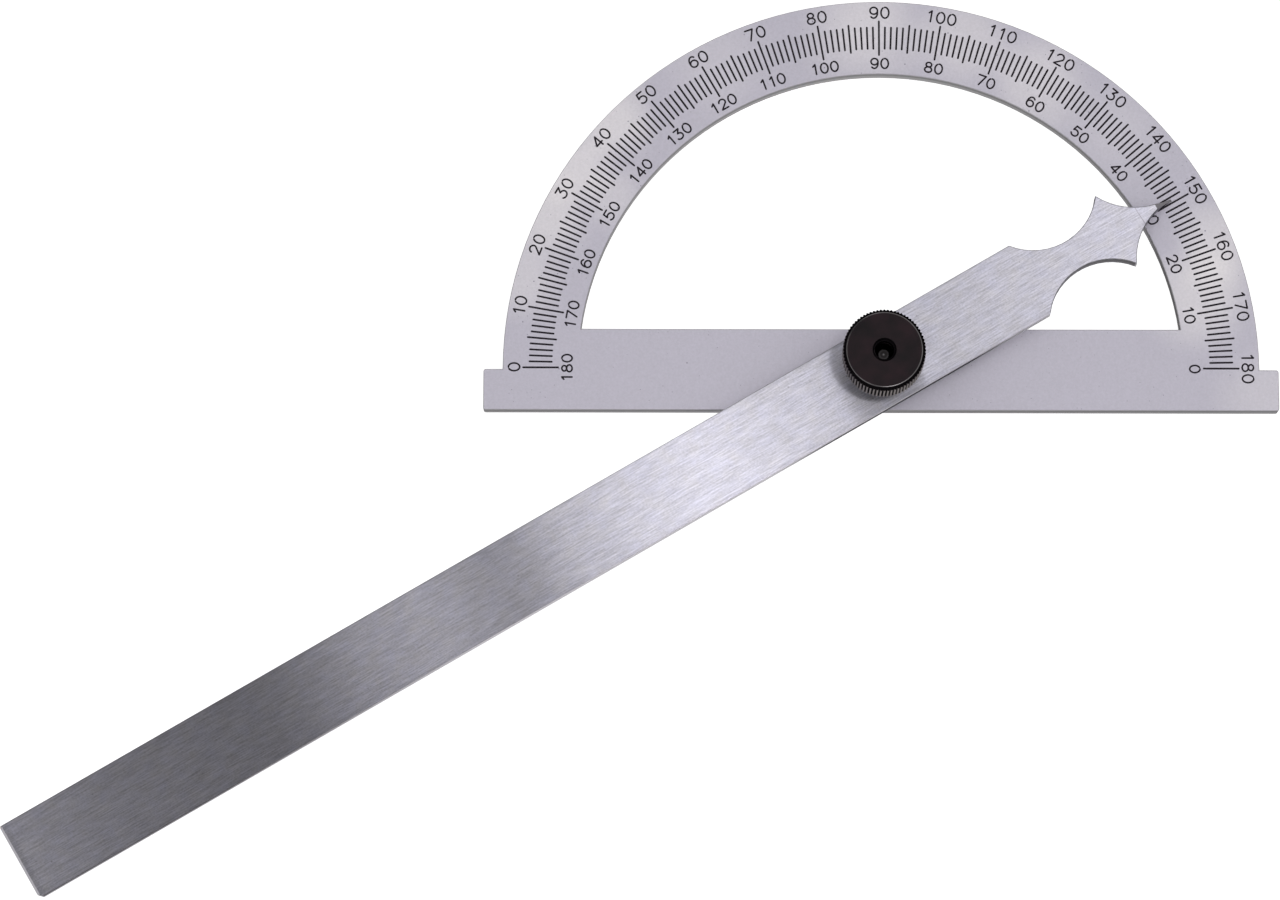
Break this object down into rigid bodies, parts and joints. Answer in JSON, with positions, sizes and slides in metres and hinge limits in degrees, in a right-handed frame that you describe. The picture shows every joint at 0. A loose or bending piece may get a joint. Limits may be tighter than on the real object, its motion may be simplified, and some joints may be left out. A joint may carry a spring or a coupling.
{
  "type": "bevel protractor",
  "caption": "Bevel protractor: a semicircular open scale on a straight base, with a pivoting spear-pointed blade clamped by a knurled nut.",
  "frame": {"origin": "on the pivot axis, at the flat back of the plate", "axes": "+X along the base towards the right-hand end of the scale, +Y to the 90 degree mark, +Z out of the graduated face"},
  "size_m": [0.2508, 0.1803, 0.0216],
  "materials": {
    "satin_chromed_steel": "satin chromed, with engraved marks filled dark",
    "brushed_steel": "ground lengthwise",
    "plain_steel": "bright, stamped",
    "blackened_steel": "black oxide, slightly oiled"
  },
  "bodies": {
    "base": {"protractor_plate": "satin_chromed_steel", "pivot_stud": "blackened_steel"},
    "blade": {"blade": "brushed_steel"},
    "washer": {"thrust_washer": "plain_steel"},
    "nut": {"knurled_nut": "blackened_steel"}
  },
  "joints": [
    {"name": "blade_swing", "type": "hinge", "parent": "base", "child": "blade", "pos_m": [0, 0, 0.003], "axis": [0, 0, 1], "range_deg": [-30.45, 149.55]},
    {"name": "nut_rise", "type": "slide", "parent": "base", "child": "washer", "axis": [0, 0, 1], "range_m": [0, 0.0007]},
    {"name": "nut_turn", "type": "hinge", "parent": "washer", "child": "nut", "pos_m": [0, 0, 0.0068], "axis": [0, 0, 1], "range_deg": [0, 360]}
  ],
  "couplings": [
    {"joint": "nut_turn", "follows": "nut_rise", "rad_per_m": 8976}
  ]
}
